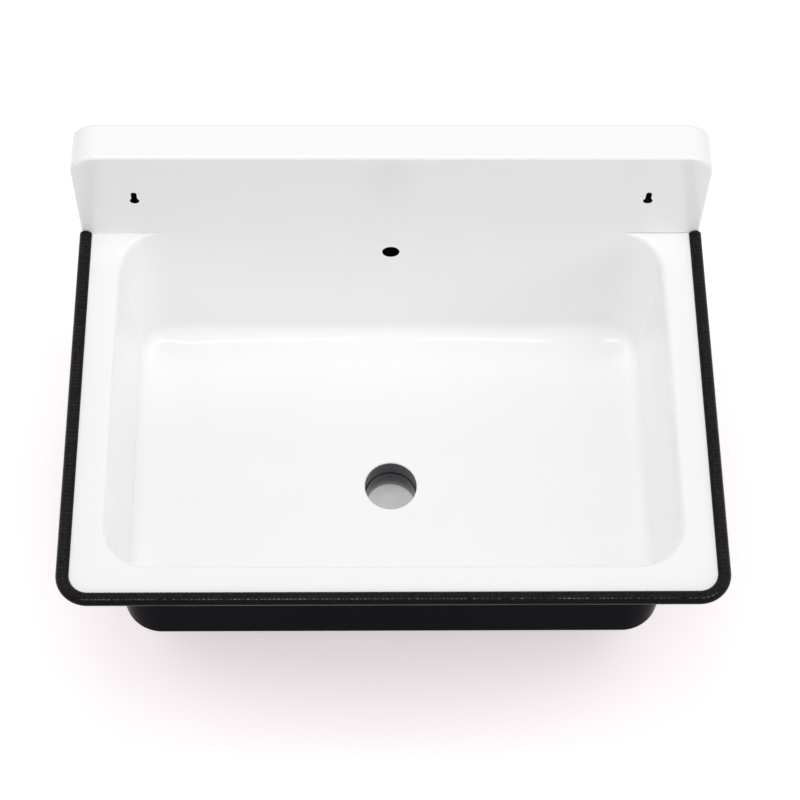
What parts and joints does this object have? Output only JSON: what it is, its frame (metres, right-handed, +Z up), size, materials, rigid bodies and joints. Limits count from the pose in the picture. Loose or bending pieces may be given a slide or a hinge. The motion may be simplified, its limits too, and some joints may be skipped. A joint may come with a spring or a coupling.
{
  "type": "utility sink",
  "caption": "Wall-hung enamelled steel utility sink: rectangular bowl with overflow and open outlet, hollow upstand with keyholes, black clip-on edge trim.",
  "frame": {"origin": "on the wall plane, at the middle of the sink's width and the height of its rim", "axes": "+Y into the wall, +Z up, +X to the user's right; the user stands on the -Y side"},
  "size_m": [0.604, 0.4315, 0.3455],
  "materials": {
    "bowl_enamel": "gloss vitreous enamel on steel, white inside and on the ledges, black outside and below",
    "upstand_enamel": "gloss vitreous enamel on steel, white outside, black inside the hollow",
    "black_enamel": "gloss black vitreous enamel on steel",
    "trim_plastic": "satin black soft plastic with a fine grain",
    "trim_steel": "plain spring steel strip"
  },
  "bodies": {
    "root": {"bowl": "bowl_enamel", "upstand": "upstand_enamel", "edge_trim_cover": "trim_plastic", "edge_trim_core": "trim_steel", "outlet_boss": "black_enamel", "outlet_neck": "black_enamel", "overflow_box": "black_enamel", "overflow_nipple": "black_enamel", "hanger_bracket_left": "black_enamel", "hanger_bracket_right": "black_enamel", "support_rail": "black_enamel", "wall_stop_left": "black_enamel", "wall_stop_right": "black_enamel"}
  },
  "joints": []
}
